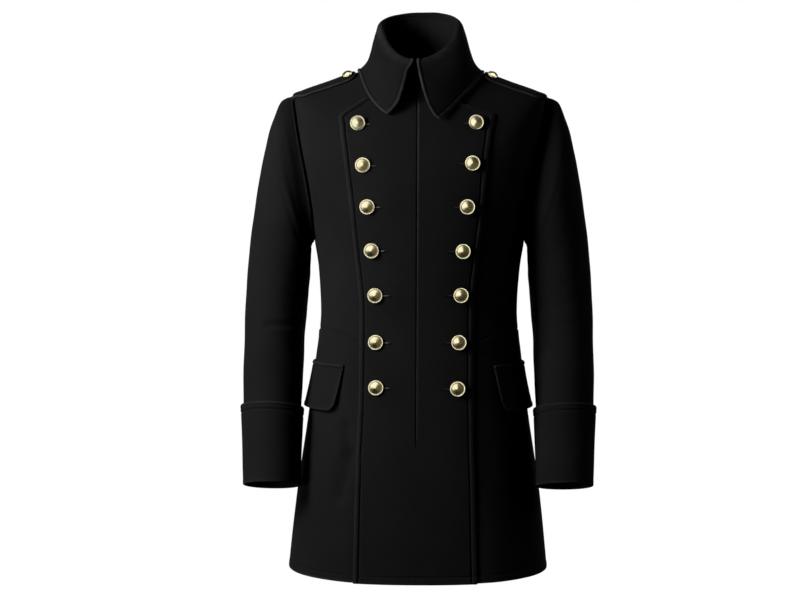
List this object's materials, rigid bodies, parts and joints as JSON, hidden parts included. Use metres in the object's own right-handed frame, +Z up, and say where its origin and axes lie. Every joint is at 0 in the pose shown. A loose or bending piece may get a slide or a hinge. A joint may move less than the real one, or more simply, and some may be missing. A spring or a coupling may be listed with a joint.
{
  "type": "double-breasted coat",
  "caption": "Black wool double-breasted coat, filled out as worn, with a buttoned front panel, fold-over collar, shoulder straps, pocket flaps and turn-back cuffs.",
  "frame": {"origin": "middle of the neck, level with the points where the shoulder seams meet it, where the wearer's neck and shoulders hold the coat", "axes": "+Z up, front toward -Y, +X toward the wearer's left"},
  "size_m": [0.6004, 0.3011, 0.9668],
  "materials": {
    "black_wool": "matte napped melton",
    "gold_brass": "polished, slightly worn"
  },
  "bodies": {
    "root": {"back": "black_wool", "front_left": "black_wool", "front_right": "black_wool", "front_panel": "black_wool", "collar_stand": "black_wool", "collar_fall": "black_wool", "top_sleeve_left": "black_wool", "top_sleeve_right": "black_wool", "under_sleeve_left": "black_wool", "under_sleeve_right": "black_wool", "cuff_left": "black_wool", "cuff_right": "black_wool", "epaulette_left": "black_wool", "epaulette_right": "black_wool", "pocket_flap_left": "black_wool", "pocket_flap_right": "black_wool", "button_left_1": "gold_brass", "button_left_2": "gold_brass", "button_left_3": "gold_brass", "button_left_4": "gold_brass", "button_left_5": "gold_brass", "button_left_6": "gold_brass", "button_left_7": "gold_brass", "button_right_1": "gold_brass", "button_right_2": "gold_brass", "button_right_3": "gold_brass", "button_right_4": "gold_brass", "button_right_5": "gold_brass", "button_right_6": "gold_brass", "button_right_7": "gold_brass", "button_epaulette_left": "gold_brass", "button_epaulette_right": "gold_brass"}
  },
  "joints": []
}
